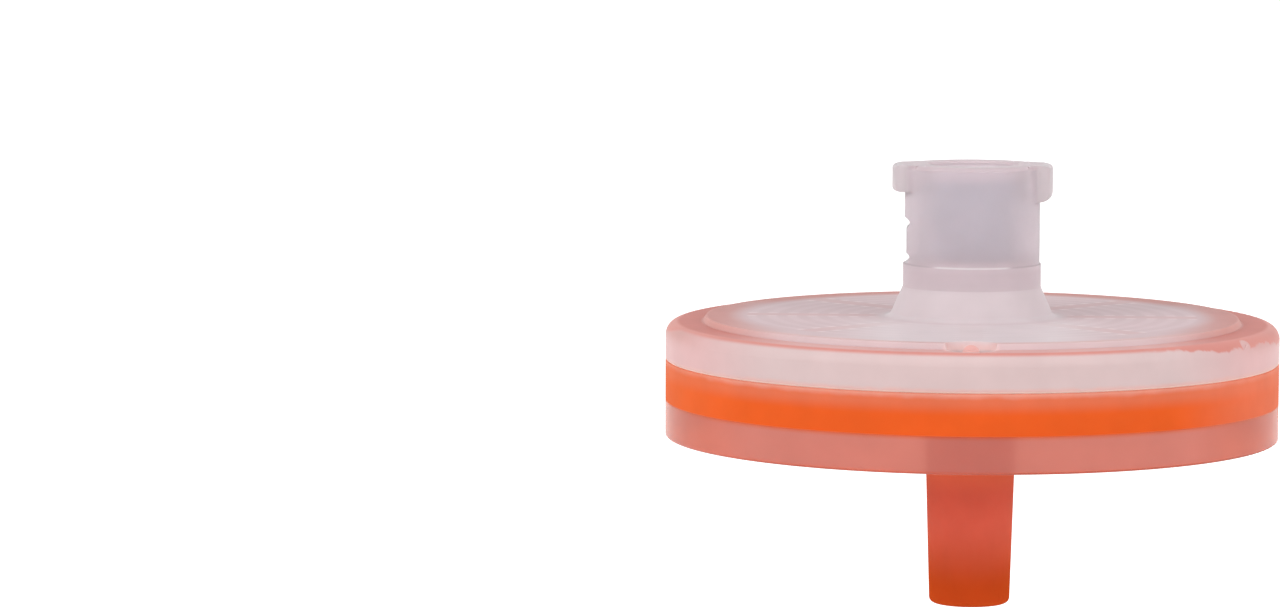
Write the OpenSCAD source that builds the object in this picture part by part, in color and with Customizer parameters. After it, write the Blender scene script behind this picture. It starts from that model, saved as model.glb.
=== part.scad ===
// Syringe filter. A moulded inlet half with a Luer lock hub is welded into a moulded
// outlet half with a Luer slip spigot, and the two clamp a membrane disc between them.
// Millimetres. The origin is the centre of the hub's mouth, +Z points out of the mouth,
// the lugs are on the X axis and the whole filter hangs below Z = 0.

/* [Disc housing] */
// Outside diameter of the welded disc
disc_d = 30.2; // [26:0.1:40]
// Height of the inlet half's rim above the weld line
inlet_rim_h = 1.85; // [1.5:0.05:2.6]
// Height from the weld line down to the underside of the outlet half's web
weld_band_h = 2.05; // [1.7:0.05:3]
// How far the skirt hangs below the web
skirt_h = 1.75; // [0.8:0.05:3]
// Wall thickness of the skirt and of the cup above it
skirt_t = 0.6; // [0.4:0.05:1]
// Radius on the rim's upper edge
rim_round = 0.65; // [0.1:0.05:0.8]
// Radius on the skirt's lower edge
skirt_round = 0.1; // [0.05:0.05:0.2]
// Bevel on both halves at the weld line
seam_bevel = 0.06; // [0.03:0.01:0.15]

/* [Plateau] */
// Width of the flat rim outside the raised plateau
rim_w = 1.85; // [1.2:0.05:2.6]
// Height of the plateau above the rim
plateau_h = 0.27; // [0.1:0.01:0.5]
// How far the plateau's wall leans in
plateau_lean = 0.15; // [0:0.01:0.3]

/* [Hub] */
// Height of the hub's mouth above the plateau
hub_h = 7.53; // [6:0.05:10]
// Outside diameter of the hub
hub_d = 6.66; // [6:0.02:7.4]
// Outside diameter of the hub below its mould line
hub_base_d = 6.8; // [6.6:0.02:7.6]
// Depth of the mould line below the mouth
mould_line_depth = 4.9; // [3:0.05:5.6]
// Radius on the hub's upper edge
mouth_round = 0.2; // [0.05:0.01:0.3]
// Diameter of the hub's flared foot where it meets the plateau
foot_d = 8.1; // [7.6:0.05:10]
// Height of the flared foot above the plateau
foot_h = 1.5; // [0.4:0.05:2.2]
// Radius from the foot into the plateau
foot_fillet = 0.5; // [0.1:0.05:0.6]
// Depth below the mouth of the upper nick on the hub's edge
upper_nick_depth = 2.9; // [2.5:0.05:3.6]
// Depth below the mouth of the lower nick
lower_nick_depth = 4.6; // [4:0.05:4.8]
// Radius of a nick
nick_r = 0.27; // [0.1:0.01:0.3]
// Length of a nick across the hub
nick_l = 3; // [1:0.1:3.4]
// Depth of the flat between the nicks
nick_flat = 0.1; // [0.05:0.01:0.2]

/* [Lugs] */
// Diameter across the two locking lugs
lug_d = 7.9; // [7.6:0.02:8.6]
// Half angle of a lug's crest
lug_angle = 15; // [10:1:25]
// Radius on a lug's corners, seen from above
lug_corner = 0.5; // [0.2:0.05:0.6]
// Radius of the hollow between a lug and the hub
lug_blend = 1.2; // [0.6:0.1:2]
// Depth of the lug on the -X side
lug_left_h = 1.33; // [1:0.01:2.4]
// Depth of the lug on the +X side
lug_right_h = 1.82; // [1:0.01:2.4]
// Radius under the crest of the lug on the -X side
lug_left_round = 0.2; // [0.1:0.05:0.5]
// Radius under the crest of the lug on the +X side
lug_right_round = 0.5; // [0.1:0.05:0.6]

/* [Luer socket] */
// Diameter of the socket at its mouth
socket_d = 4.3; // [4.1:0.01:5.2]
// Taper on diameter of the socket and the spigot, as a share of length
luer_taper = 0.06; // [0.04:0.005:0.08]
// Depth of the tapered socket
socket_depth = 6.7; // [5.5:0.05:7.5]
// Bevel at the mouth of the socket
socket_bevel = 0.12; // [0.05:0.01:0.2]
// Diameter of the port below the socket
port_d = 3.42; // [2.8:0.02:3.7]
// Width of the arms of the cross that spans the port
baffle_w = 1; // [0.6:0.05:1.2]
// Thickness of the cross
baffle_t = 0.8; // [0.4:0.05:1.2]

/* [Flow fields] */
// Number of radial channels
channels = 8; // [4:2:12]
// Width of a radial channel
channel_w = 1; // [0.6:0.05:1.4]
// Spacing of the arc ribs
rib_pitch = 1; // [0.8:0.05:1.4]
// Width of an arc rib on the inlet side
rib_w = 0.68; // [0.4:0.02:0.78]
// Height of the ribs on the inlet side
rib_h = 0.5; // [0.2:0.05:0.6]
// Width of an arc rib on the outlet side
drain_rib_w = 0.5; // [0.3:0.02:0.7]
// Height of the ribs on the outlet side
drain_rib_h = 0.5; // [0.2:0.05:0.6]
// Thickness of the web under the outlet side's channels
web_t = 1.2; // [0.7:0.05:1.4]

/* [Weld and seal] */
// Width of the welded ledge inside the cup
weld_w = 1.25; // [0.8:0.05:1.6]
// How far the inlet half plugs into the cup
plug_h = 0.72; // [0.4:0.01:0.9]
// Width of the tongue that surrounds the membrane
tongue_w = 1.0; // [0.7:0.05:1.4]
// Thickness of the web under the tongue's groove
groove_floor_t = 0.68; // [0.5:0.02:0.9]
// Width of the ring that presses on the membrane's edge
seal_w = 1.0; // [0.6:0.05:1.6]
// Radial gap where one half fits into the other
fit_gap = 0.03; // [0.01:0.01:0.08]
// Gap under the tongue
tongue_gap = 0.05; // [0.02:0.01:0.1]

/* [Membrane] */
// Thickness of the membrane
membrane_t = 0.2; // [0.1:0.02:0.3]
// Gap round the membrane's edge
membrane_gap = 0.08; // [0.03:0.01:0.2]
// Gap between the inlet ribs and the membrane
rib_gap = 0.1; // [0.05:0.01:0.3]

/* [Spigot] */
// Length of the spigot below the web
spigot_l = 10.1; // [8:0.1:13]
// Diameter of the spigot at its tip
spigot_tip_d = 3.97; // [3.8:0.01:4.8]
// Radius on the spigot's tip
tip_round = 0.28; // [0.1:0.02:0.4]
// Radius where the spigot meets the web
spigot_fillet = 0.35; // [0.1:0.05:0.6]
// Diameter of the bore through the spigot
bore_d = 2.1; // [1.4:0.05:2.5]

/* [Mould marks] */
// Diameter of the gate recess
gate_d = 2.5; // [2:0.1:3]
// Depth of the gate recess below the rim
gate_depth = 0.2; // [0.05:0.01:0.4]
// How far the gate recess stands in from the disc's edge
gate_inset = 1.9; // [1.8:0.05:2.6]
// Diameter of the gate's domed stub
stub_d = 0.85; // [0.8:0.05:1.2]
// Height of the gate's stub
stub_h = 0.42; // [0.2:0.02:0.42]
// Width of the burr on the rim's edge
burr_w = 1; // [0.4:0.05:1.2]
// Height of the burr above the foot of the rim's rounded edge
burr_h = 0.4; // [0.2:0.01:0.6]
// Angle of the burr round the rim
burr_angle = -30; // [-180:1:180]

/* [Hidden] */
$fn = 96;

eps = 0.01;                     // how far a cut runs past a face
disc_r = disc_d / 2;

// Heights, from the mouth of the hub downwards
plateau_z = -hub_h;
rim_z = plateau_z - plateau_h;
weld_z = rim_z - inlet_rim_h;
plug_z = weld_z - plug_h;
web_z = weld_z - weld_band_h;
skirt_z = web_z - skirt_h;
tip_z = web_z - spigot_l;
drain_floor_z = web_z + web_t;
membrane_z = drain_floor_z + drain_rib_h;
seal_z = membrane_z + membrane_t;
press_z = min(plug_z, seal_z);
ceiling_z = seal_z + rib_gap + rib_h;
groove_z = web_z + groove_floor_t;

// Radii, from the disc's edge inwards
plateau_r = disc_r - rim_w;
cup_r = disc_r - skirt_t;
groove_outer_r = cup_r - weld_w;
tongue_outer_r = groove_outer_r - fit_gap;
tongue_inner_r = tongue_outer_r - tongue_w;
groove_inner_r = tongue_inner_r - fit_gap;
membrane_r = groove_inner_r - membrane_gap;
field_r = groove_inner_r - seal_w;

// Where each flow field starts, outside the port and the bore
field_start = port_d / 2 + 0.1;
drain_start = bore_d / 2 + 0.2;

// Small mould marks
foot_bite = 0.01;               // how far the foot's radius runs into its slope
gate_lean = 0.15;               // how far the gate recess's wall leans in
burr_t = 0.1;                   // thickness of the burr
burr_inset = 0.01;              // how far the burr stands in from the disc's edge
burr_peak = 0.65;               // place of the burr's peak along its width

function polar(r, a) = [r * cos(a), r * sin(a)];

// The diameter of a Luer cone at a distance from where it measures d
function luer(d, distance) = d + luer_taper * distance;

// Fills the hollow corner at the origin with a fillet, in the first quadrant
module corner_fillet(r) {
    difference() {
        square(r);
        translate([r, r]) circle(r);
    }
}

// Half section of a disc from z = low to z = high, with its upper edge rounded
module rounded_section(r, low, high, round) {
    translate([0, low]) square([r - round, high - low]);
    translate([0, low]) square([r, high - low - round]);
    translate([r - round, high - round]) circle(round);
}

// Plan of one flow field: arc ribs cut by radial channels. The ends of the ribs are
// square at every other channel and round at the channels between them.
module rib_field(outer_r, start_r, width) {
    rings = floor((outer_r - width - start_r) / rib_pitch);
    step = 360 / channels;
    round_cut = channel_w + width;
    for (ring = [0 : rings]) {
        middle_r = outer_r - width / 2 - ring * rib_pitch;
        swing = asin(round_cut / 2 / middle_r);
        difference() {
            circle(middle_r + width / 2);
            circle(middle_r - width / 2);
            for (i = [0 : channels - 1])
                rotate(i * step) translate([0, -(i % 2 ? round_cut : channel_w) / 2])
                    square([outer_r + 1, i % 2 ? round_cut : channel_w]);
        }
        for (i = [1 : 2 : channels - 1], side = [-1, 1])
            translate(polar(middle_r, i * step + side * swing)) circle(width / 2);
    }
}

// Plan of one lug: a crest on the X axis with round corners, and hollow flanks that
// run into the hub
module lug_plan() {
    corner_r = lug_d / 2 - lug_corner;
    blend_r = hub_d / 2 + lug_blend;
    reach = lug_blend + lug_corner;
    swing = acos((blend_r ^ 2 + corner_r ^ 2 - reach ^ 2) / (2 * blend_r * corner_r));
    corner = polar(corner_r, lug_angle);
    hollow = polar(blend_r, lug_angle + swing);
    intersection() {
        circle(d = lug_d);
        polygon([[0, 0], polar(lug_d, -lug_angle), polar(lug_d, lug_angle)]);
    }
    for (side = [0, 1])
        mirror([0, side]) {
            translate(corner) circle(lug_corner);
            difference() {
                polygon([[0, 0], corner, hollow]);
                translate(hollow) circle(lug_blend);
            }
        }
}

// One lug on the +X side, with its crest rounded above and below
module lug(height, round) {
    intersection() {
        translate([0, 0, -height]) linear_extrude(height) lug_plan();
        rotate_extrude() {
            rounded_section(lug_d / 2, -height / 2, 0, mouth_round);
            mirror([0, 1]) rounded_section(lug_d / 2, height / 2, height, round);
        }
    }
}

// The tapered socket, bevelled at its mouth
module luer_socket() {
    mouth_r = socket_d / 2;
    translate([0, 0, -socket_depth])
        cylinder(h = socket_depth + eps,
                 d1 = luer(socket_d, -socket_depth), d2 = luer(socket_d, eps));
    translate([0, 0, -socket_bevel])
        cylinder(h = socket_bevel + eps, r1 = mouth_r, r2 = mouth_r + socket_bevel + eps);
}

// The cross that breaks up the jet into the filter chamber
module baffle() {
    translate([0, 0, -socket_depth - baffle_t])
        intersection() {
            cylinder(h = baffle_t, d = port_d + 2 * eps);
            for (angle = [45, 135])
                rotate(angle) translate([-port_d, -baffle_w / 2, 0])
                    cube([2 * port_d, baffle_w, baffle_t]);
        }
}

// Section of the radius that runs from the foot's slope into the plateau
module foot_radius(base_r, foot_r) {
    lean = atan((foot_r - base_r) / foot_h);
    reach = foot_fillet * tan(45 - lean / 2);
    intersection() {
        translate([foot_r + reach - foot_fillet - foot_bite, plateau_z]) corner_fillet(foot_fillet);
        translate([0, plateau_z]) square([foot_r + reach, reach * cos(lean)]);
    }
}

// Solid outline of the hub, the plate and the rim, before anything is cut
module inlet_body() {
    base_r = hub_base_d / 2;
    foot_r = foot_d / 2;
    foot_top = plateau_z + foot_h;
    rotate_extrude() {
        rounded_section(hub_d / 2, -mould_line_depth, 0, mouth_round);
        polygon([
            [0, -mould_line_depth], [base_r, -mould_line_depth], [base_r, foot_top],
            [foot_r, plateau_z], [foot_r, plateau_z - eps], [0, plateau_z - eps]
        ]);
        foot_radius(base_r, foot_r);
        translate([0, rim_z - eps]) polygon([
            [0, 0], [plateau_r, 0], [plateau_r, eps],
            [plateau_r - plateau_lean, plateau_h + eps], [0, plateau_h + eps]
        ]);
        difference() {
            rounded_section(disc_r, weld_z, rim_z, rim_round);
            translate([disc_r, weld_z]) rotate(45) square(seam_bevel * sqrt(2), center = true);
        }
        translate([0, plug_z]) square([cup_r - fit_gap, weld_z - plug_z + eps]);
        translate([0, press_z]) square([tongue_inner_r + eps, plug_z - press_z + eps]);
        tongue_z = groove_z + tongue_gap;
        translate([tongue_inner_r, tongue_z]) square([tongue_w, plug_z - tongue_z + eps]);
    }
}

// The chamber under the plate, inside the tongue: the membrane's seat with the
// flow field inside the seal ring
module inlet_chamber() {
    low = press_z - eps;
    translate([0, 0, low]) cylinder(h = seal_z - low, r = tongue_inner_r);
    difference() {
        translate([0, 0, seal_z - eps]) cylinder(h = ceiling_z - seal_z + eps, r = field_r);
        translate([0, 0, ceiling_z - rib_h])
            linear_extrude(rib_h + eps) rib_field(field_r, field_start, rib_w);
    }
}

// The recess left by the mould's gate, with the domed stub where it broke off
module gate_recess() {
    floor_z = rim_z - gate_depth;
    dome_r = (stub_h ^ 2 + (stub_d / 2) ^ 2) / (2 * stub_h);
    translate([0, -(disc_r - gate_inset), floor_z])
        difference() {
            cylinder(h = plateau_z - floor_z + eps, d1 = gate_d - 2 * gate_lean, d2 = gate_d);
            translate([0, 0, stub_h - dome_r]) sphere(dome_r);
        }
}

// A burr of flash standing on the rim's rounded edge
module rim_burr() {
    rotate(burr_angle)
        translate([disc_r - burr_inset - burr_t, -burr_w / 2, rim_z - rim_round - eps])
            rotate([90, 0, 90]) linear_extrude(burr_t)
                polygon([[0, 0], [burr_w, 0], [burr_peak * burr_w, burr_h]]);
}

// Two nicks on the hub's edge, on the -X side, with a flat between them
module hub_nicks() {
    hub_r = hub_d / 2;
    for (depth = [upper_nick_depth, lower_nick_depth])
        translate([-hub_r, 0, -depth])
            rotate([90, 0, 0]) cylinder(h = nick_l, r = nick_r, center = true);
    translate([-hub_r - nick_flat, -nick_l / 2, -lower_nick_depth])
        cube([2 * nick_flat, nick_l, lower_nick_depth - upper_nick_depth]);
}

module inlet_housing() {
    color([0.9, 0.85, 0.86]) {
        difference() {
            union() {
                inlet_body();
                lug(lug_right_h, lug_right_round);
                rotate(180) lug(lug_left_h, lug_left_round);
                rim_burr();
            }
            luer_socket();
            translate([0, 0, ceiling_z - rib_h - eps])
                cylinder(h = -socket_depth - ceiling_z + rib_h + 2 * eps, d = port_d);
            inlet_chamber();
            gate_recess();
            hub_nicks();
        }
        baffle();
    }
}

module membrane() {
    color([0.97, 0.96, 0.95])
        translate([0, 0, membrane_z]) cylinder(h = membrane_t, r = membrane_r);
}

// The tapered spigot below the web, with a rounded tip and a fillet at its root
module spigot() {
    root_d = luer(spigot_tip_d, spigot_l);
    translate([0, 0, tip_z + tip_round])
        cylinder(h = spigot_l - tip_round + eps, d1 = luer(spigot_tip_d, tip_round), d2 = root_d);
    rotate_extrude()
        mirror([0, 1])
            rounded_section(luer(spigot_tip_d, tip_round) / 2,
                            -tip_z - tip_round - eps, -tip_z, tip_round);
    rotate_extrude()
        translate([root_d / 2 - 0.02, web_z + eps]) mirror([0, 1]) corner_fillet(spigot_fillet);
}

module outlet_housing() {
    color([0.94, 0.4, 0.16])
        difference() {
            union() {
                rotate_extrude()
                    difference() {
                        mirror([0, 1])
                            rounded_section(disc_r, -weld_z, -skirt_z, skirt_round);
                        // Inside of the skirt
                        translate([0, skirt_z - eps]) square([cup_r, skirt_h + eps]);
                        // Inside of the cup, down to the welded ledge
                        translate([groove_inner_r, plug_z])
                            square([cup_r - groove_inner_r, weld_z - plug_z + eps]);
                        // Groove for the tongue
                        translate([groove_inner_r, groove_z])
                            square([groove_outer_r - groove_inner_r, plug_z - groove_z + eps]);
                        // Room for the membrane and the plate that closes on it
                        translate([0, membrane_z])
                            square([groove_inner_r + eps, weld_z - membrane_z + eps]);
                        translate([disc_r, weld_z])
                            rotate(45) square(seam_bevel * sqrt(2), center = true);
                    }
                spigot();
            }
            // Flow field under the membrane
            translate([0, 0, drain_floor_z])
                linear_extrude(drain_rib_h + eps)
                    difference() {
                        circle(field_r);
                        rib_field(field_r, drain_start, drain_rib_w);
                    }
            translate([0, 0, tip_z - eps])
                cylinder(h = drain_floor_z - tip_z + 2 * eps, d = bore_d);
        }
}

inlet_housing();
membrane();
outlet_housing();
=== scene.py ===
"""Looks of the syringe filter: two translucent polypropylene halves over a white membrane.

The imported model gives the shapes. This script paints them in the part's own coordinates, and
adds the camera, the floor and the light.
"""

import math
from types import SimpleNamespace

import bpy
from mathutils import Matrix, Vector


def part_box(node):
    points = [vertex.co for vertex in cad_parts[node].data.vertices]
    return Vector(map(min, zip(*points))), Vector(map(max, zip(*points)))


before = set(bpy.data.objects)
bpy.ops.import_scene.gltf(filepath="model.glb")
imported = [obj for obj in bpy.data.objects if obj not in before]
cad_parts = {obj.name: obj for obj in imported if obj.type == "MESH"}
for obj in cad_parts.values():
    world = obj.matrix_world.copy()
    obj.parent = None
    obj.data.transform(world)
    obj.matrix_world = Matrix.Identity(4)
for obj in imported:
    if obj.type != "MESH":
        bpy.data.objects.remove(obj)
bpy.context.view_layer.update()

MM = 0.001

# Steps of the two mouldings that their boxes don't give, in millimetres
RIM_H = 1.85        # weld line up to the rim
RIM_W = 1.85        # rim outside the raised plateau
PLATEAU_H = 0.27    # rim up to the plateau
BAND_H = 2.05       # weld line down to the underside of the web
SKIRT_H = 1.75      # web down to the skirt's edge

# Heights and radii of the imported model, in millimetres
_, inlet_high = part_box("inlet_housing")
_, membrane_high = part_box("membrane")
outlet_low, outlet_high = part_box("outlet_housing")
mouth_z = inlet_high.z / MM
membrane_r = membrane_high.x / MM
disc_r = outlet_high.x / MM
plateau_r = disc_r - RIM_W
weld_z = outlet_high.z / MM
rim_z = weld_z + RIM_H
plateau_z = rim_z + PLATEAU_H
web_z = weld_z - BAND_H
skirt_z = web_z - SKIRT_H
tip_z = outlet_low.z / MM


# ---------------------------------------------------------------- node helpers

def new_material(name):
    """A material with an empty node tree and its output node."""
    material = bpy.data.materials.new(name)
    material.use_nodes = True
    tree = material.node_tree
    tree.nodes.clear()
    output = tree.nodes.new("ShaderNodeOutputMaterial")
    return material, tree, output


def node(tree, kind, **settings):
    """Adds a node. Settings named after sockets set their values, the rest are properties."""
    made = tree.nodes.new(kind)
    for key, value in settings.items():
        name = key.replace("_", " ")
        socket = next((s for s in made.inputs if s.name.lower() == name.lower()), None)
        if socket is not None:
            socket.default_value = value
        else:
            setattr(made, key, value)
    return made


def link(tree, source, target):
    """Joins one node's output to another node's input."""
    tree.links.new(source, target)


def put(tree, value, socket):
    """Sets a socket to a number or a colour, or links it to another node's output."""
    if isinstance(value, tuple):
        socket.default_value = (*value, 1)
    elif isinstance(value, (int, float)):
        socket.default_value = value
    else:
        link(tree, value, socket)


def socket_of(sockets, name, kind):
    """The socket of one type, where sockets of several types share a name."""
    return next(s for s in sockets if s.name == name and s.type == kind)


def function_of(tree, operation, value):
    """A Math operation on one node's output."""
    made = node(tree, "ShaderNodeMath", operation=operation)
    link(tree, value, made.inputs[0])
    return made.outputs[0]


def combine(tree, operation, first, *others):
    """Joins values by a Math operation. Each is a number or another node's output."""
    result = first
    for value in others:
        made = node(tree, "ShaderNodeMath", operation=operation)
        put(tree, result, made.inputs[0])
        put(tree, value, made.inputs[1])
        result = made.outputs[0]
    return result


def plus(tree, *values):
    """The sum of the values."""
    return combine(tree, "ADD", *values)


def times(tree, *values):
    """The product of the values."""
    return combine(tree, "MULTIPLY", *values)


def most(tree, *values):
    """The largest of the values."""
    return combine(tree, "MAXIMUM", *values)


def least(tree, *values):
    """The smallest of the values."""
    return combine(tree, "MINIMUM", *values)


def span(level, start, end):
    """Where a change starts and ends, given from a height or a radius of the part."""
    return level + start, level + end


def ramp(tree, value, between, strength=1.0):
    """Zero where the value is at the span's start, rising smoothly to strength at its end."""
    start, end = between
    made = node(tree, "ShaderNodeMapRange", interpolation_type="SMOOTHSTEP",
                From_Min=start, From_Max=end, To_Max=strength)
    link(tree, value, made.inputs["Value"])
    return made.outputs["Result"]


def blend(tree, start, end, amount):
    """A number that runs from start to end as the amount runs from 0 to 1."""
    made = node(tree, "ShaderNodeMapRange", To_Min=start, To_Max=end)
    link(tree, amount, made.inputs["Value"])
    return made.outputs["Result"]


def over(tree, base, colour, amount):
    """Lays a colour over a base by an amount from 0 to 1."""
    made = node(tree, "ShaderNodeMix", data_type="RGBA")
    put(tree, base, socket_of(made.inputs, "A", "RGBA"))
    put(tree, colour, socket_of(made.inputs, "B", "RGBA"))
    link(tree, amount, socket_of(made.inputs, "Factor", "VALUE"))
    return socket_of(made.outputs, "Result", "RGBA")


def near(tree, point, centre, between):
    """One close to a centre. The span gives the distances where it leaves zero and reaches one."""
    made = node(tree, "ShaderNodeVectorMath", operation="DISTANCE")
    link(tree, point, made.inputs[0])
    made.inputs[1].default_value = centre
    return ramp(tree, made.outputs["Value"], between)


def noise(tree, point, scale, detail, spread, low, high):
    """Noise from low to high. The spread is how far each side of its middle the raw noise goes."""
    texture = node(tree, "ShaderNodeTexNoise", Scale=scale, Detail=detail)
    link(tree, point, texture.inputs["Vector"])
    made = node(tree, "ShaderNodeMapRange", From_Min=0.5 - spread, From_Max=0.5 + spread,
                To_Min=low, To_Max=high)
    link(tree, texture.outputs["Fac"], made.inputs["Value"])
    return made.outputs["Result"]


def part_space(tree):
    """Places on the part in millimetres: the point, its axes, its radius and its side offset."""
    coords = node(tree, "ShaderNodeTexCoord")
    scaled = node(tree, "ShaderNodeVectorMath", operation="SCALE", Scale=1 / MM)
    link(tree, coords.outputs["Object"], scaled.inputs[0])
    point = scaled.outputs["Vector"]
    flat = node(tree, "ShaderNodeVectorMath", operation="MULTIPLY")
    flat.inputs[1].default_value = (1, 1, 0)
    link(tree, point, flat.inputs[0])
    radius = node(tree, "ShaderNodeVectorMath", operation="LENGTH")
    link(tree, flat.outputs["Vector"], radius.inputs[0])
    axes = node(tree, "ShaderNodeSeparateXYZ")
    link(tree, point, axes.inputs[0])
    x, y, z = (axes.outputs[name] for name in "XYZ")
    return SimpleNamespace(point=point, x=x, y=y, z=z, r=radius.outputs["Value"],
                           side=function_of(tree, "ABSOLUTE", x))


# ---------------------------------------------------------------- polypropylene

PP_IOR = 1.49
COAT_ROUGHNESS = 0.25
MILK_WEIGHT = 0.3
MILK_DEPTH = 0.5                # how far light spreads under the surface, in millimetres
MILK_RADIUS = (1, 0.8, 0.8)

# Uneven haze, and the wander of edges such as the weld line
HAZE_DETAIL = 3
HAZE_SPREAD = 0.2
PLASTIC_HAZE_SCALE = 0.5
WANDER_DETAIL = 4
WANDER_SPREAD = 0.25
WELD_WANDER_SCALE = 0.9
WELD_WANDER = 0.06


def cloud(tree, point, base, scale, depth):
    """Uneven haze: the base varies by the depth about its own value."""
    made = node(tree, "ShaderNodeVectorMath", operation="SCALE")
    link(tree, base, made.inputs[0])
    haze = noise(tree, point, scale, HAZE_DETAIL, HAZE_SPREAD, 1 - depth, 1 + depth)
    link(tree, haze, made.inputs["Scale"])
    return made.outputs["Vector"]


def wobble(tree, point, scale, amount):
    """Noise about zero, for edges that wander."""
    return noise(tree, point, scale, WANDER_DETAIL, WANDER_SPREAD, -amount, amount)


def weld_height(tree, space):
    """Height on the part, with the noise that makes the weld line wander."""
    return plus(tree, space.z, wobble(tree, space.point, WELD_WANDER_SCALE, WELD_WANDER))


def finish_plastic(tree, output, colour, clear, roughness, density, tint, specular, gloss):
    """Translucent moulded polypropylene: clear and milky shares, with absorption inside."""
    shader = node(tree, "ShaderNodeBsdfPrincipled", IOR=PP_IOR, Coat_Roughness=COAT_ROUGHNESS,
                  Specular_IOR_Level=specular, Subsurface_Weight=MILK_WEIGHT,
                  Subsurface_Scale=MILK_DEPTH * MM, Subsurface_Radius=MILK_RADIUS)
    put(tree, colour, shader.inputs["Base Color"])
    put(tree, clear, shader.inputs["Transmission Weight"])
    put(tree, roughness, shader.inputs["Roughness"])
    put(tree, gloss, shader.inputs["Coat Weight"])
    link(tree, shader.outputs["BSDF"], output.inputs["Surface"])
    absorb = node(tree, "ShaderNodeVolumeAbsorption", Color=(*tint, 1), Density=density)
    link(tree, absorb.outputs["Volume"], output.inputs["Volume"])


# ---------------------------------------------------------------- natural half

# Each pair of numbers is where a change starts and ends, in millimetres. The end of its name
# says along what: the height Z, the radius R, the axis X or Y, or SIDE, the distance from x = 0.

# Hub
NAT_HUB = (0.86, 0.76, 0.80)
NAT_MOUTH = (0.63, 0.525, 0.555)
# painted shade: the hollow socket, seen dark and blue-grey through the hub's wall
NAT_SOCKET_SHADE = (0.36, 0.42, 0.52)
NAT_LUG = (0.66, 0.59, 0.61)
NAT_BASE = (0.61, 0.515, 0.545)
# painted highlight along the mould line round the hub, in the middle of the front and the back
NAT_LINE_HIGHLIGHT = (0.95, 0.90, 0.92)
# painted shade that dims the mould line's ledge toward its ends
NAT_LINE_END_SHADE = (0.64, 0.55, 0.58)
# pink of the membrane under the port, painted brighter: painted light that lifts the shade of the
# hollow
NAT_PORT_PAINTED_LIGHT = (0.95, 0.62, 0.62)
NAT_FOOT = (0.65, 0.56, 0.58)
MOUTH_Z = span(mouth_z, -0.3, -0.1)
SOCKET_Z = span(mouth_z, -0.4, -1.0)
SOCKET_R = (2.6, 2.2)
LUG_Z = span(mouth_z, -3.0, -2.0)
LUG_R = (3.4, 3.6)
SOLID_Z = span(mouth_z, -4.5, -5.3)
LINE_UNDER_Z = span(mouth_z, -4.97, -4.9)
LINE_OVER_Z = span(mouth_z, -4.83, -4.9)
LINE_HIGHLIGHT_SIDE = (2.0, 1.6)
LINE_END_SHADE_SIDE = (1.8, 2.2)
PORT_Z = span(mouth_z, -4.4, -4.8)
PORT_R = (2.1, 1.9)
FOOT_Z = span(plateau_z, 1.83, 1.23)

# Plate, with a pool of light painted in front of the hub and the ring where the orange half shows
# through
NAT_PLATE = (0.59, 0.43, 0.45)
# painted pool of light on the plate in front of the hub
NAT_PAINTED_GLOW = (0.71, 0.625, 0.645)
NAT_RING_FRONT = (0.64, 0.405, 0.395)
NAT_RING = (0.52, 0.207, 0.183)
PLATE_Z = span(plateau_z, 0.63, 0.13)
PLATE_R = (3.9, 5.0)
GLOW_SIDE = (7.5, 2.5)
GLOW_Y = (0.0, -4.0)
GLOW_SHOWS = 0.8
RING_FRONT_R = span(plateau_r, -1.05, -0.35)
RING_R = span(plateau_r, -2.35, -1.05)
ENDS_SIDE = span(disc_r, -7.1, -2.1)
BACK_Y = (2.0, 8.0)

# Ribs and channels that show through the plate. OFF is the distance from a channel's middle.
NAT_CHANNEL = (0.60, 0.40, 0.41)
NAT_RIB = (0.66, 0.505, 0.53)
NAT_RIB_END = (0.76, 0.60, 0.61)
RIB_SHOWS = 0.42
RIB_END_SHOWS = 0.6
CHANNELS = 8
RIB_PITCH = 1.0
OUTER_RIB_R = 10.85             # middle of the outermost rib
FIELD_OUTER_R = span(OUTER_RIB_R, 0.35, 0.15)
FIELD_INNER_R = (4.4, 5.2)
RIB_WAVE = (-0.6, 0.8)          # where a rib rises on a wave that runs from -1 to 1
RIB_OFF = (0.5, 0.6)
RIB_END_NEAR_OFF = (0.4, 0.6)
RIB_END_FAR_OFF = (1.0, 0.75)
CHANNEL_OFF = (0.6, 0.45)

# Step round the plateau, rim and rounded edge
NAT_STEP = (0.68, 0.52, 0.53)
NAT_STEP_END = (0.65, 0.31, 0.275)
NAT_RIM = (0.68, 0.37, 0.35)
NAT_RIM_END = (0.54, 0.15, 0.122)
NAT_EDGE = (0.66, 0.265, 0.23)
STEP_R = span(plateau_r, -0.3, -0.15)
STEP_Z = span(plateau_z, 0.03, -0.03)
RIM_R = span(plateau_r, -0.05, 0.15)
RIM_Z = span(rim_z, 0.2, 0.1)
EDGE_R = span(disc_r, -0.75, -0.45)

# Mark of the gate and its stub. REACH is the distance from a centre.
NAT_GATE = (0.80, 0.56, 0.54)
NAT_STUB = (0.78, 0.44, 0.41)
GATE_INSET = 1.9
GATE_CENTRE = (0, GATE_INSET - disc_r, rim_z - 0.2)
GATE_REACH = (1.45, 1.1)
STUB_CENTRE = (0, GATE_INSET - disc_r, rim_z)
STUB_REACH = (0.55, 0.45)

# Outside wall of the rim, with the burr at its right
NAT_WALL = (0.665, 0.51, 0.505)
NAT_WALL_END = (0.705, 0.43, 0.425)
NAT_SHADE = (0.58, 0.30, 0.27)
NAT_SEAM = (0.74, 0.44, 0.40)
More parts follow.
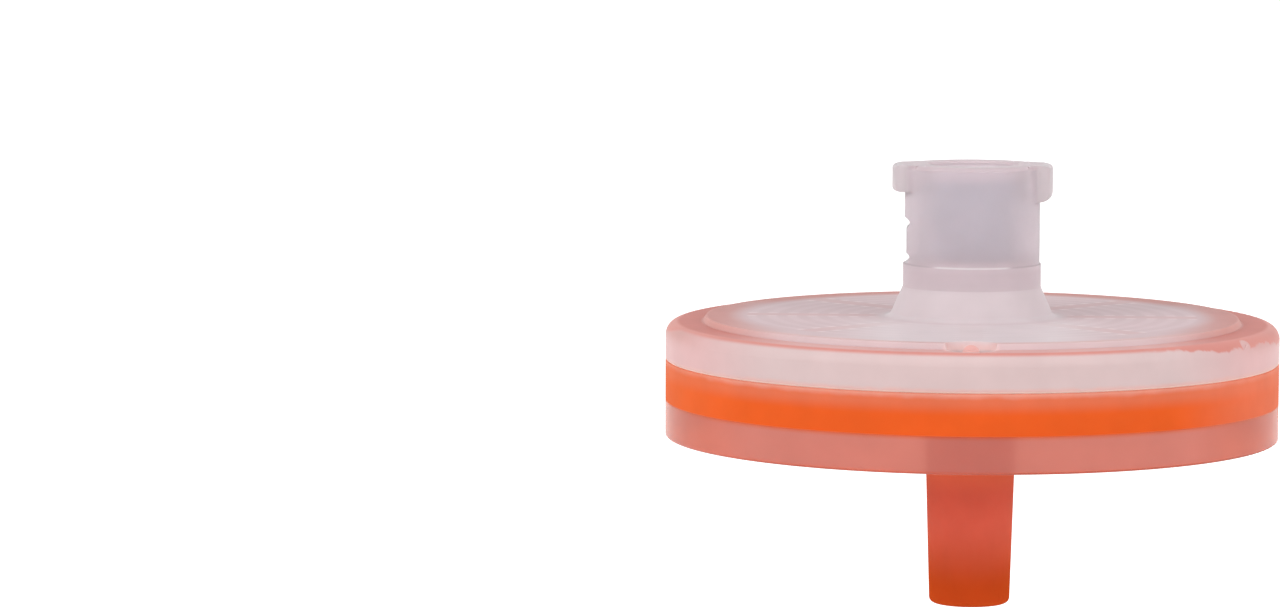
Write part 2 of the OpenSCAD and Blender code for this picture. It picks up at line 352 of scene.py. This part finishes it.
# painted light along the weld's bevel, which lifts the shade of that groove
NAT_BEVEL_LIGHT = (1.0, 0.74, 0.66)
WALL_Z = span(rim_z, -0.04, -0.2)
WALL_DROP = 0.3
WALL_DROP_X = span(disc_r, -7.1, -1.6)
WALL_DROP_SIDE = span(disc_r, -1.1, 0)
WALL_END_SIDE = span(disc_r, -6.1, -0.6)
RAGGED_X = span(disc_r, -8.1, -4.1)
RAGGED_SCALE = 1.4
RAGGED_DEPTH = 0.14
BURR_ANGLE = math.radians(-29.43)
BURR_CENTRE = (disc_r * math.cos(BURR_ANGLE), disc_r * math.sin(BURR_ANGLE), rim_z - 0.3)
BURR_REACH = (0.5, 0.35)
SHADE_SIDE = span(disc_r, -3.1, -0.1)
SHADE_Z = span(rim_z, -1.1, -0.1)
SHADE_SHOWS = 0.85
SEAM_Z = span(weld_z, 0.3, 0.03)
NAT_BEVEL_Z = span(weld_z, 0.075, 0.05)

# Finish
NAT_HUB_CLEAR = 0.6
NAT_MILKY_CLEAR = 0.1
MILKY_SHOWS = 0.7
NAT_ROUGHNESS = 0.4
NAT_DENSITY = 60
NAT_TINT = (0.9, 0.7, 0.75)
NAT_SPECULAR = 0.06
NAT_HAZE = 0.03


def hub_colours(tree, space):
    """The hub: mouth, socket in painted shade, lugs, base, painted highlight line round it, port
    in painted light, foot.
    """
    z, r, side = space.z, space.r, space.side
    colour = over(tree, NAT_HUB, NAT_MOUTH, ramp(tree, z, MOUTH_Z))
    # painted shade of the hollow socket, seen through the hub's wall
    socket = times(tree, ramp(tree, r, SOCKET_R), ramp(tree, z, SOCKET_Z))
    colour = over(tree, colour, NAT_SOCKET_SHADE, socket)
    lug = times(tree, ramp(tree, r, LUG_R), ramp(tree, z, LUG_Z))
    colour = over(tree, colour, NAT_LUG, lug)
    colour = over(tree, colour, NAT_BASE, ramp(tree, z, SOLID_Z))
    line = times(tree, ramp(tree, z, LINE_UNDER_Z), ramp(tree, z, LINE_OVER_Z))
    # painted highlight where the mould line's ledge faces front or back
    colour = over(tree, colour, NAT_LINE_HIGHLIGHT, times(tree, line, ramp(tree, side, LINE_HIGHLIGHT_SIDE)))
    # painted shade toward the mould line's ends, where the ledge catches the lamps
    line_end_shade = times(tree, line, ramp(tree, side, LINE_END_SHADE_SIDE))
    colour = over(tree, colour, NAT_LINE_END_SHADE, line_end_shade)
    # the port's pink, brightened by painted light against the hollow's shade
    port_light = times(tree, ramp(tree, r, PORT_R), ramp(tree, z, PORT_Z))
    colour = over(tree, colour, NAT_PORT_PAINTED_LIGHT, port_light)
    return over(tree, colour, NAT_FOOT, ramp(tree, z, FOOT_Z))


def channel_distance(tree, space):
    """Distance from the middle of the nearest channel. They run out from the axis all round."""
    distances = []
    for index in range(CHANNELS // 2):
        angle = index * 2 * math.pi / CHANNELS
        across = node(tree, "ShaderNodeVectorMath", operation="DOT_PRODUCT")
        link(tree, space.point, across.inputs[0])
        across.inputs[1].default_value = (math.cos(angle), math.sin(angle), 0)
        distances.append(function_of(tree, "ABSOLUTE", across.outputs["Value"]))
    return least(tree, *distances)


def flow_field(tree, space):
    """Where the ribs, their ends and the channels between them show through the plate."""
    turns = times(tree, plus(tree, space.r, -OUTER_RIB_R), 2 * math.pi / RIB_PITCH)
    wave = ramp(tree, function_of(tree, "COSINE", turns), RIB_WAVE)
    field = times(tree, ramp(tree, space.r, FIELD_OUTER_R), ramp(tree, space.r, FIELD_INNER_R),
                  ramp(tree, space.z, PLATE_Z))
    off = channel_distance(tree, space)
    ribs = times(tree, wave, field, ramp(tree, off, RIB_OFF))
    ends = times(tree, ramp(tree, off, RIB_END_NEAR_OFF), ramp(tree, off, RIB_END_FAR_OFF), ribs)
    channels = times(tree, ramp(tree, off, CHANNEL_OFF), field)
    return ribs, ends, channels


def plate_colours(tree, space, colour, ends):
    """The plate: its ribs and channels, a painted glow of light in front of the hub and the pink
    ring.
    """
    plate = times(tree, ramp(tree, space.z, PLATE_Z), ramp(tree, space.r, PLATE_R))
    colour = over(tree, colour, NAT_PLATE, plate)
    ribs, rib_ends, channels = flow_field(tree, space)
    colour = over(tree, colour, NAT_CHANNEL, channels)
    colour = over(tree, colour, NAT_RIB, times(tree, ribs, RIB_SHOWS))
    colour = over(tree, colour, NAT_RIB_END, times(tree, rib_ends, RIB_END_SHOWS))
    # painted pool of light in front of the hub
    glow = times(tree, ramp(tree, space.side, GLOW_SIDE), ramp(tree, space.y, GLOW_Y, GLOW_SHOWS))
    colour = over(tree, colour, NAT_PAINTED_GLOW, times(tree, glow, plate))
    front_ring = times(tree, ramp(tree, space.r, RING_FRONT_R), plate)
    colour = over(tree, colour, NAT_RING_FRONT, front_ring)
    return over(tree, colour, NAT_RING, times(tree, ramp(tree, space.r, RING_R), ends, plate))


def rim_colours(tree, space, colour, ends):
    """The plateau's step, the flat rim and its rounded edge, pinker at the ends and the back."""
    step = times(tree, ramp(tree, space.r, STEP_R), ramp(tree, space.z, STEP_Z))
    colour = over(tree, colour, over(tree, NAT_STEP, NAT_STEP_END, ends), step)
    rim = times(tree, ramp(tree, space.r, RIM_R), ramp(tree, space.z, RIM_Z))
    colour = over(tree, colour, over(tree, NAT_RIM, NAT_RIM_END, ends), rim)
    return over(tree, colour, NAT_EDGE, times(tree, ramp(tree, space.r, EDGE_R), rim))


def gate_colours(tree, space, colour):
    """The mark of the gate: a pale hollow round a pink stub."""
    colour = over(tree, colour, NAT_GATE, near(tree, space.point, GATE_CENTRE, GATE_REACH))
    return over(tree, colour, NAT_STUB, near(tree, space.point, STUB_CENTRE, STUB_REACH))


def wall_colours(tree, space, colour):
    """The rim's outside wall. Its top is lower at the right and at both ends, ragged at right."""
    drop = plus(tree, ramp(tree, space.x, WALL_DROP_X, WALL_DROP),
                ramp(tree, space.side, WALL_DROP_SIDE, WALL_DROP))
    ragged = times(tree, wobble(tree, space.point, RAGGED_SCALE, RAGGED_DEPTH),
                   ramp(tree, space.x, RAGGED_X))
    wall = most(tree, ramp(tree, plus(tree, space.z, drop, ragged), WALL_Z),
                near(tree, space.point, BURR_CENTRE, BURR_REACH))
    wall_colour = over(tree, NAT_WALL, NAT_WALL_END, ramp(tree, space.side, WALL_END_SIDE))
    colour = over(tree, colour, wall_colour, wall)
    shade = times(tree, ramp(tree, space.side, SHADE_SIDE),
                  ramp(tree, space.z, SHADE_Z, SHADE_SHOWS), wall)
    colour = over(tree, colour, NAT_SHADE, shade)
    seam = times(tree, wall, ramp(tree, weld_height(tree, space), SEAM_Z))
    colour = over(tree, colour, NAT_SEAM, seam)
    # painted light on the wall's lowest edge at the weld's bevel, against the groove's shade
    return over(tree, colour, NAT_BEVEL_LIGHT, ramp(tree, space.z, NAT_BEVEL_Z))


def natural_clear(tree, space):
    """The hub's wall is the clearest. All below the socket is milky, mouth and lugs partly."""
    lug = times(tree, ramp(tree, space.r, LUG_R), ramp(tree, space.z, LUG_Z, MILKY_SHOWS))
    milky = most(tree, ramp(tree, space.z, SOLID_Z),
                 ramp(tree, space.z, MOUTH_Z, MILKY_SHOWS), lug)
    return blend(tree, NAT_HUB_CLEAR, NAT_MILKY_CLEAR, milky)


def natural_material():
    """Natural polypropylene: milky white, with the orange half showing pink through its rim."""
    material, tree, output = new_material("natural_pp")
    space = part_space(tree)
    # both ends and the back, where more of the orange half shows through
    ends = most(tree, ramp(tree, space.side, ENDS_SIDE), ramp(tree, space.y, BACK_Y))
    colour = hub_colours(tree, space)
    colour = plate_colours(tree, space, colour, ends)
    colour = rim_colours(tree, space, colour, ends)
    colour = gate_colours(tree, space, colour)
    colour = wall_colours(tree, space, colour)
    colour = cloud(tree, space.point, colour, PLASTIC_HAZE_SCALE, NAT_HAZE)
    finish_plastic(tree, output, colour, clear=natural_clear(tree, space),
                   roughness=NAT_ROUGHNESS, density=NAT_DENSITY, tint=NAT_TINT,
                   specular=NAT_SPECULAR, gloss=0.0)
    return material


# ---------------------------------------------------------------- orange half

# Band between the weld line and the web
OR_WELD = (0.72, 0.29, 0.22)
OR_UPPER = (0.68, 0.15, 0.07)
# painted light along the weld's bevel, which lifts the shade of that groove
OR_BEVEL_LIGHT = (0.68, 0.24, 0.17)
OR_DEEP = (0.72, 0.10, 0.014)
OR_END = (0.68, 0.11, 0.025)
# painted whitish reflection on the band's right end
OR_RIGHT_END_REFLECTION = (0.68, 0.20, 0.14)
UPPER_Z = span(weld_z, 0, -0.35)
OR_BEVEL_Z = span(weld_z, -0.05, -0.09)
DEEP_Z = span(weld_z, -0.4, -1.1)
OR_ENDS_SIDE = span(disc_r, -5.3, -0.9)
OR_END_SHOWS = 0.5
RIGHT_END_X = span(disc_r, -6.1, -1.1)
RIGHT_END_SHOWS = 0.35

# Skirt
OR_SKIRT = (0.635, 0.203, 0.155)
OR_SKIRT_END = (0.66, 0.12, 0.05)
OR_LIP = (0.72, 0.17, 0.10)
SKIRT_Z = span(web_z, 0.1, -0.2)
SKIRT_END_SHOWS = 0.75
LIP_Z = span(skirt_z, 0.2, 0.05)

# Spigot, from its root inside the skirt down to its tip
# painted light: the root, inside the skirt and just below it, is painted bright to lift the shade
# of the skirt and the disc
OR_ROOT_INSIDE_PAINTED_LIGHT = (1.0, 0.15, 0.02)
OR_ROOT_PAINTED_LIGHT = (1.0, 0.25, 0.11)
OR_BODY = (0.78, 0.145, 0.09)
OR_TIP = (0.55, 0.068, 0.012)
SPIGOT_R = (3.2, 2.6)
ROOT_Z = span(skirt_z, 0.25, -0.15)
BODY_Z = span(skirt_z, -0.15, -3.05)
TIP_Z = span(tip_z, 4.3, 0.8)

# Finish
CLEAR_R = span(disc_r, -3.1, -2.1)
CLEAR_Z = span(web_z, 0.08, 0)
SKIRT_CLEAR = 0.5
SKIRT_ROUGHNESS = 0.15
OR_ROUGHNESS = 0.45
OR_DENSITY = 300
OR_TINT = (0.999, 0.45, 0.15)
OR_GLOSS = 0.1
OR_GLOSS_R = span(disc_r, -0.3, -0.1)
OR_HAZE = 0.04


def band_colours(tree, space, ends):
    """The band: pale at the weld line, deepest toward the web, with a painted whitish reflection
    at the right end.
    """
    colour = over(tree, OR_WELD, OR_UPPER, ramp(tree, weld_height(tree, space), UPPER_Z))
    # painted light on the band's top edge at the weld's bevel, against the groove's shade
    colour = over(tree, OR_BEVEL_LIGHT, colour, ramp(tree, space.z, OR_BEVEL_Z))
    colour = over(tree, colour, OR_DEEP, ramp(tree, space.z, DEEP_Z))
    colour = over(tree, colour, OR_END, times(tree, ends, OR_END_SHOWS))
    # painted reflection at the right end
    return over(tree, colour, OR_RIGHT_END_REFLECTION, ramp(tree, space.x, RIGHT_END_X, RIGHT_END_SHOWS))


def skirt_colours(tree, space, colour, ends):
    """The skirt: pink, more orange at its ends and at its lip."""
    skirt_colour = over(tree, OR_SKIRT, OR_SKIRT_END, times(tree, ends, SKIRT_END_SHOWS))
    colour = over(tree, colour, skirt_colour, ramp(tree, space.z, SKIRT_Z))
    return over(tree, colour, OR_LIP, ramp(tree, space.z, LIP_Z))


def spigot_colours(tree, space, colour):
    """The spigot: painted light on its root lifts the shade of skirt and disc; brightest below the
    skirt's edge, darker toward the tip.
    """
    spigot = times(tree, ramp(tree, space.r, SPIGOT_R), ramp(tree, space.z, SKIRT_Z))
    # painted light on the root, against the shade of the skirt and the disc
    spigot_colour = over(tree, OR_ROOT_INSIDE_PAINTED_LIGHT, OR_ROOT_PAINTED_LIGHT, ramp(tree, space.z, ROOT_Z))
    spigot_colour = over(tree, spigot_colour, OR_BODY, ramp(tree, space.z, BODY_Z))
    spigot_colour = over(tree, spigot_colour, OR_TIP, ramp(tree, space.z, TIP_Z))
    return over(tree, colour, spigot_colour, spigot)


def orange_material():
    """Orange polypropylene, see-through in the skirt."""
    material, tree, output = new_material("orange_pp")
    space = part_space(tree)
    ends = ramp(tree, space.side, OR_ENDS_SIDE)
    colour = band_colours(tree, space, ends)
    colour = skirt_colours(tree, space, colour, ends)
    colour = spigot_colours(tree, space, colour)
    colour = cloud(tree, space.point, colour, PLASTIC_HAZE_SCALE, OR_HAZE)
    skirt = times(tree, ramp(tree, space.r, CLEAR_R), ramp(tree, space.z, CLEAR_Z))
    finish_plastic(tree, output, colour, clear=times(tree, skirt, SKIRT_CLEAR),
                   roughness=blend(tree, OR_ROUGHNESS, SKIRT_ROUGHNESS, skirt),
                   density=OR_DENSITY, tint=OR_TINT, specular=0.0,
                   gloss=ramp(tree, space.r, OR_GLOSS_R, OR_GLOSS))
    return material


# ---------------------------------------------------------------- membrane

MEMBRANE_WHITE = (0.86, 0.80, 0.81)
MEMBRANE_PINK = (0.86, 0.70, 0.70)
MEMBRANE_EDGE_R = span(membrane_r, -3.11, -0.11)
MEMBRANE_HAZE_SCALE = 2.0
MEMBRANE_HAZE = 0.02
MEMBRANE_ROUGHNESS = 0.9


def membrane_material():
    """The matt white membrane, faintly pink toward its edge."""
    material, tree, output = new_material("membrane_white")
    space = part_space(tree)
    colour = over(tree, MEMBRANE_WHITE, MEMBRANE_PINK, ramp(tree, space.r, MEMBRANE_EDGE_R))
    colour = cloud(tree, space.point, colour, MEMBRANE_HAZE_SCALE, MEMBRANE_HAZE)
    shader = node(tree, "ShaderNodeBsdfPrincipled", Roughness=MEMBRANE_ROUGHNESS)
    link(tree, colour, shader.inputs["Base Color"])
    link(tree, shader.outputs["BSDF"], output.inputs["Surface"])
    return material


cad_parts["inlet_housing"].data.materials[0] = natural_material()
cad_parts["outlet_housing"].data.materials[0] = orange_material()
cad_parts["membrane"].data.materials[0] = membrane_material()


# ---------------------------------------------------------------- camera

AIM = Vector((0, 0, -9.0 * MM))         # on the axis inside the disc: the lamps' target
CAMERA_DISTANCE = 239.5 * MM            # from that point
CAMERA_ELEVATION = math.radians(6.07)
CAMERA_PAN = math.radians(-3.94)        # to the left, which puts the filter right of the middle
CAMERA_TILT = math.radians(-5.623)
CAMERA_ROLL = math.radians(0.09)
SENSOR_WIDTH = 36
LENS = 136.0265625
CLIP_START = 0.01
CLIP_END = 20


def add_camera():
    """A long lens a little above the plate. The filter stands right of the middle of the frame."""
    data = bpy.data.cameras.new("camera")
    data.sensor_width = SENSOR_WIDTH
    data.lens = LENS
    data.clip_start = CLIP_START
    data.clip_end = CLIP_END
    camera = bpy.data.objects.new("camera", data)
    bpy.context.scene.collection.objects.link(camera)
    back = Vector((0, -math.cos(CAMERA_ELEVATION), math.sin(CAMERA_ELEVATION)))
    forward = Vector((math.sin(CAMERA_PAN) * math.cos(CAMERA_TILT),
                      math.cos(CAMERA_PAN) * math.cos(CAMERA_TILT), math.sin(CAMERA_TILT)))
    level_right = forward.cross(Vector((0, 0, 1))).normalized()
    level_up = level_right.cross(forward)
    right = math.cos(CAMERA_ROLL) * level_right + math.sin(CAMERA_ROLL) * level_up
    up = -math.sin(CAMERA_ROLL) * level_right + math.cos(CAMERA_ROLL) * level_up
    rotation = Matrix((right, up, -forward)).transposed()
    camera.matrix_world = Matrix.Translation(AIM + CAMERA_DISTANCE * back) @ rotation.to_4x4()
    bpy.context.scene.camera = camera


# ---------------------------------------------------------------- stage and light

WHITE = (1, 1, 1, 1)
WORLD_LIGHT = 0.68
FLOOR_REACH = 3.0               # from the middle to each side, in metres
FLOOR_GAP = 15                  # below the spigot's tip, in millimetres
FLOOR_COLOUR = (0.8, 0.8, 0.8, 1)
FLOOR_GLOW = 0.65

# Places and sizes of the lamps in metres, and their power in watts
KEY_PLACE = (-0.46, -0.30, 0.28)
KEY_SIZE = 0.35
KEY_POWER = 1.95
FILL_PLACE = (0.46, -0.30, 0.26)
FILL_SIZE = 0.4
FILL_POWER = 1.75


def seen_directly(tree):
    """One for rays that show the background: from the camera, off a gloss or through plastic."""
    path = node(tree, "ShaderNodeLightPath")
    names = ("Is Camera Ray", "Is Glossy Ray", "Is Transmission Ray")
    return most(tree, *(path.outputs[name] for name in names))


def mix_shaders(tree, amount, first, second):
    """Runs from the first shader to the second as the amount runs from 0 to 1."""
    made = node(tree, "ShaderNodeMixShader")
    for index, source in enumerate((amount, first, second)):
        link(tree, source, made.inputs[index])
    return made.outputs[0]


def add_world():
    """Soft light from all round, which is plain white where it is seen."""
    world = bpy.data.worlds.new("world")
    bpy.context.scene.world = world
    world.use_nodes = True
    tree = world.node_tree
    tree.nodes.clear()
    output = tree.nodes.new("ShaderNodeOutputWorld")
    light = node(tree, "ShaderNodeBackground", Color=WHITE, Strength=WORLD_LIGHT)
    white = node(tree, "ShaderNodeBackground", Color=WHITE, Strength=1.0)
    mixed = mix_shaders(tree, seen_directly(tree), light.outputs[0], white.outputs[0])
    link(tree, mixed, output.inputs["Surface"])


def floor_material():
    """A pale floor with a glow where it is seen, so it looks white and keeps the shadow."""
    material, tree, output = new_material("floor_white")
    diffuse = node(tree, "ShaderNodeBsdfDiffuse", Color=FLOOR_COLOUR)
    glow = node(tree, "ShaderNodeEmission")
    link(tree, times(tree, seen_directly(tree), FLOOR_GLOW), glow.inputs["Strength"])
    surface = node(tree, "ShaderNodeAddShader")
    link(tree, diffuse.outputs[0], surface.inputs[0])
    link(tree, glow.outputs[0], surface.inputs[1])
    # seen from below the floor is open, and it still bounces light
    below = times(tree, node(tree, "ShaderNodeLightPath").outputs["Is Camera Ray"],
                  node(tree, "ShaderNodeNewGeometry").outputs["Backfacing"])
    clear = node(tree, "ShaderNodeBsdfTransparent")
    mixed = mix_shaders(tree, below, surface.outputs[0], clear.outputs[0])
    link(tree, mixed, output.inputs["Surface"])
    return material


def add_floor():
    """A plain square floor below the spigot's tip."""
    height = (tip_z - FLOOR_GAP) * MM
    corners = [(x * FLOOR_REACH, y * FLOOR_REACH, height)
               for x, y in ((-1, -1), (1, -1), (1, 1), (-1, 1))]
    mesh = bpy.data.meshes.new("floor")
    mesh.from_pydata(corners, [], [(0, 1, 2, 3)])
    mesh.materials.append(floor_material())
    floor = bpy.data.objects.new("floor", mesh)
    bpy.context.scene.collection.objects.link(floor)


def add_lamp(name, place, size, power):
    """A square soft lamp aimed at the disc."""
    data = bpy.data.lights.new(name, "AREA")
    data.shape = "SQUARE"
    data.size = size
    data.energy = power
    lamp = bpy.data.objects.new(name, data)
    bpy.context.scene.collection.objects.link(lamp)
    lamp.location = place
    lamp.rotation_euler = (AIM - Vector(place)).to_track_quat("-Z", "Y").to_euler()


add_camera()
add_world()
add_floor()
add_lamp("key_lamp", KEY_PLACE, KEY_SIZE, KEY_POWER)
add_lamp("fill_lamp", FILL_PLACE, FILL_SIZE, FILL_POWER)

bpy.context.scene.view_settings.view_transform = "Standard"
